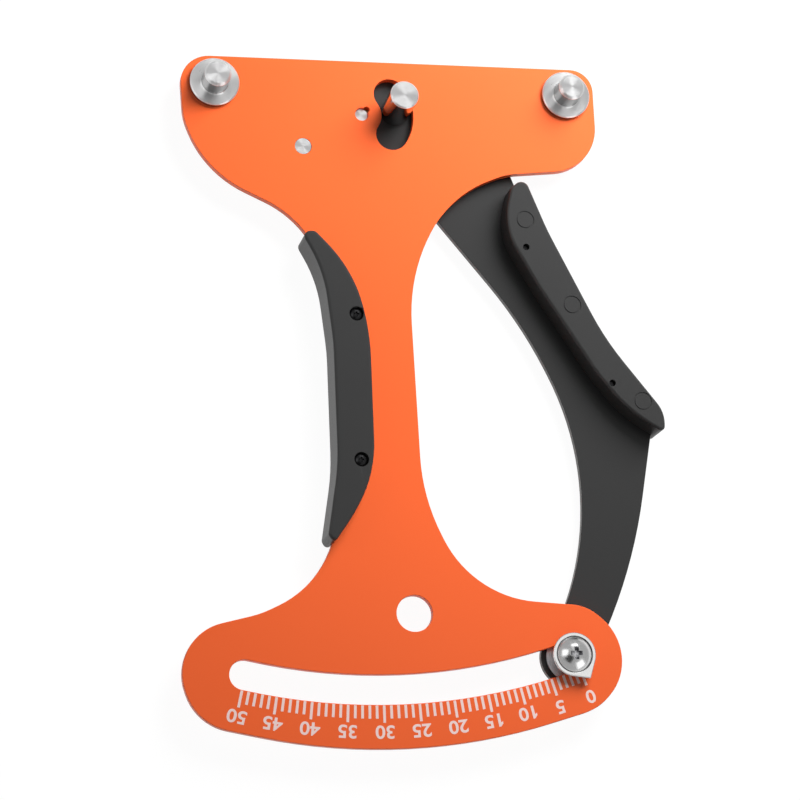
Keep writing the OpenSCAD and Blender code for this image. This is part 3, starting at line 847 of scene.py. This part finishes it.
def scaleNumber(value):
    angle = scaleTurn(value)
    radius = scale["firstNumberAt"] if value < 10 else scale["numberAt"]
    nothingSelected()
    bpy.ops.object.text_add(location=(0, 0, 0))
    text = bpy.context.object.data
    text.body = str(value)
    text.align_x = "CENTER"
    text.align_y = "CENTER"
    text.size = scale["high"] / scale["fontHigh"] * mm
    text.offset = scale["bold"] * mm
    text.extrude = scale["film"] / 2 * mm
    bpy.ops.object.convert(target="CURVE")
    drawFlag(bpy.context.object.data)
    openEyes(bpy.context.object.data)
    bpy.ops.object.convert(target="MESH")
    figure = named("scaleNumber%02d" % value)
    # The figure's middle goes on its own line of the scale, its top outwards
    xs = [vertex.co.x for vertex in figure.data.vertices]
    ys = [vertex.co.y for vertex in figure.data.vertices]
    centre = Vector(((min(xs) + max(xs)) / 2, (min(ys) + max(ys)) / 2, 0))
    size = scale["high"] * mm / (max(ys) - min(ys))
    figure.data.transform(Matrix.Translation(-centre))
    figure.scale = (size * scale["wide"], size, 1)
    figure.rotation_euler = (0, 0, math.pi - angle)
    figure.location = onScale(radius, angle, scale["lift"] + scale["film"] / 2)
    settle(figure)
    return standsFor(dress(figure, ink), "plate", "plate")


for value in range(0, scale["lines"], scale["longEvery"]):
    scaleNumber(value)
print("scale ready")

# The pieces that stay as they are in the CAD model: finish, and how far their edges are softened
kept = {
    "post_washers": (zinc, 0.08), "fixed_post_screws": (blackSteel, 0.08),
    "pivot_bush": (bronze, 0.1), "pivot_washer": (zinc, 0.06), "pivot_clip": (springSteel, 0.05),
    "moving_post_screw": (blackSteel, 0.08), "spring_peg": (zinc, 0.08),
    "pointer_post": (zinc, 0.12),
}
softening = {"gap": 0.001, "steps": 2, "edgeAngle": 35, "splitAngle": 40}
for node, (material, edge) in kept.items():
    piece = dress(onlyThis(nodes[node]), material)
    weld = piece.modifiers.new("weld", "WELD")
    weld.merge_threshold = softening["gap"] * mm
    soften = piece.modifiers.new("edges", "BEVEL")
    soften.width, soften.segments = edge * mm, softening["steps"]
    soften.limit_method = "ANGLE"
    soften.angle_limit = math.radians(softening["edgeAngle"])
    split = piece.modifiers.new("split", "EDGE_SPLIT")
    split.split_angle = math.radians(softening["splitAngle"])
    for face in piece.data.polygons:
        face.use_smooth = True
print("CAD pieces dressed")

# Places are in millimetres from the datum here and below, sizes of lights and cards in metres
camera = {"lens": 119.95, "sensor": 36, "place": (-154.913, -268.390, 694.989),
          "aim": (-1.300, -90.706, 0.0), "roll": -0.0405, "near": 0.01, "far": 10}
lens = bpy.data.cameras.new("photoCamera")
lens.lens, lens.sensor_width = camera["lens"], camera["sensor"]
lens.clip_start, lens.clip_end = camera["near"], camera["far"]
shot = bpy.data.objects.new("photoCamera", lens)
bpy.context.scene.collection.objects.link(shot)
eyeAt = spot(*camera["place"])
ahead = (spot(*camera["aim"]) - eyeAt).normalized()
side = ahead.cross(Vector((0, 1, 0))).normalized()
top = side.cross(ahead)
cosRoll, sinRoll = math.cos(camera["roll"]), math.sin(camera["roll"])
turn = Matrix((cosRoll * side + sinRoll * top, cosRoll * top - sinRoll * side, -ahead))
shot.matrix_world = Matrix.Translation(eyeAt) @ turn.transposed().to_4x4()
bpy.context.scene.camera = shot

# The floor shows as white to the camera, and keeps a share of the shadow that falls on it
floorLook = {"size": 3.0, "low": 0.1, "fog": 90, "dark": 0.90, "light": 0.94,
             "glow": 1.05, "shadowShare": 0.09}
nothingSelected()
bpy.ops.mesh.primitive_plane_add(size=floorLook["size"],
                                 location=(0, 0, -floorLook["low"] * mm))
floor = settle(named("floor"))
paper = Finish("paleFloor", Roughness=0.9, Specular_IOR_Level=0.1)
fog = paper.noise(paper.place(), floorLook["fog"])
greys = [(*[floorLook[key]] * 3, 1) for key in ("dark", "light")]
paper.feed(Base_Color=paper.mix(fog, *greys))
cameraRay = paper.add("LightPath", out="Is Camera Ray")
seen = cameraRay + cameraRay.beside("Is Glossy Ray")
seen = (seen + cameraRay.beside("Is Transmission Ray")).clamped()
glow = paper.add("Emission", None, {"Color": (1, 1, 1, 1), "Strength": floorLook["glow"]})
lit = paper.add("MixShader", None, {0: seen * (1 - floorLook["shadowShare"]),
                                    1: Wire(paper, paper.shader.outputs[0]), 2: glow})
clear = paper.add("BsdfTransparent")
behind = paper.add("NewGeometry", out="Backfacing")
oneSided = paper.add("MixShader", None, {0: behind, 1: lit, 2: clear})
paper.tree.links.new(oneSided.socket, paper.tree.nodes["Material Output"].inputs[0])
dress(floor, paper.material)

lamps = {
    "keyLight": {"place": (155, 140, 215), "aim": (20, -40, 0), "size": 0.23, "power": 2.2},
    "fillLight": {"place": (-480, -20, 170), "aim": (-10, -90, 0), "size": 0.3, "power": 0.2},
    "lowLight": {"place": (60, -560, 260), "aim": (0, -100, 0), "size": 0.4, "power": 0.2},
}
for name, look in lamps.items():
    lamp = bpy.data.lights.new(name, "AREA")
    lamp.shape, lamp.size, lamp.energy = "SQUARE", look["size"], look["power"]
    holder = bpy.data.objects.new(name, lamp)
    bpy.context.scene.collection.objects.link(holder)
    holder.location = spot(*look["place"])
    beam = spot(*look["aim"]) - holder.location
    holder.rotation_euler = beam.to_track_quat("-Z", "Y").to_euler()
    holder.visible_glossy = False

# Cards that only shiny surfaces see: white ones round the object, a dark one by the camera
cards = {
    "keyCard": {"place": (115, 165, 490), "size": 0.26, "glow": 0.7},
    "farCard": {"place": (225, 344, 434), "size": 0.18, "glow": 3.4},
    "topCard": {"place": (64, 370, 464), "size": 0.16, "glow": 3.2},
    "rightCard": {"place": (190, -60, 510), "size": 0.17, "glow": 1.35},
    "leftCard": {"place": (-376, -24, 405), "size": 0.34, "glow": 1.7},
    "lowCard": {"place": (386, -561, 291), "size": 0.4, "glow": 1.7},
    "darkCard": {"place": (-165, -310, 430), "size": 0.34, "glow": 0.03},
}
cardCloth = {"weave": 40, "vary": 0.03}
for name, look in cards.items():
    nothingSelected()
    bpy.ops.mesh.primitive_plane_add(size=look["size"])
    card = named(name)
    card.location = spot(*look["place"])
    card.rotation_euler = (card.location - spot(0, -60)).to_track_quat("Z", "Y").to_euler()
    settle(card)
    cloth = Finish(name + "Cloth", Roughness=0.9, Specular_IOR_Level=0.0,
                   Base_Color=(0, 0, 0, 1), Emission_Strength=1.0)
    weave = cloth.noise(cloth.place(), cardCloth["weave"])
    swings = (1 - cardCloth["vary"], 1 + cardCloth["vary"])
    greys = [(*[look["glow"] * swing] * 3, 1) for swing in swings]
    cloth.feed(Emission_Color=cloth.mix(weave, *greys))
    dress(card, cloth.material)
    card.visible_camera = card.visible_diffuse = False
    card.visible_shadow = card.visible_transmission = False

# The world is white to the camera, grey in reflections and dim as a light
sky = {"light": 0.11, "mirrored": 0.5}
world = bpy.data.worlds.new("studioWorld")
bpy.context.scene.world = world
air = NodeWeb(world, "Background")
cameraRay = air.add("LightPath", out="Is Camera Ray")
seen = (cameraRay + cameraRay.beside("Is Transmission Ray")).clamped()
mirrored = cameraRay.beside("Is Glossy Ray") * (sky["mirrored"] - sky["light"])
air.feed(Color=(1, 1, 1, 1), Strength=sky["light"] + seen * (1 - sky["light"]) + mirrored)
bpy.context.scene.view_settings.view_transform = "Standard"
print("camera, floor and light ready")
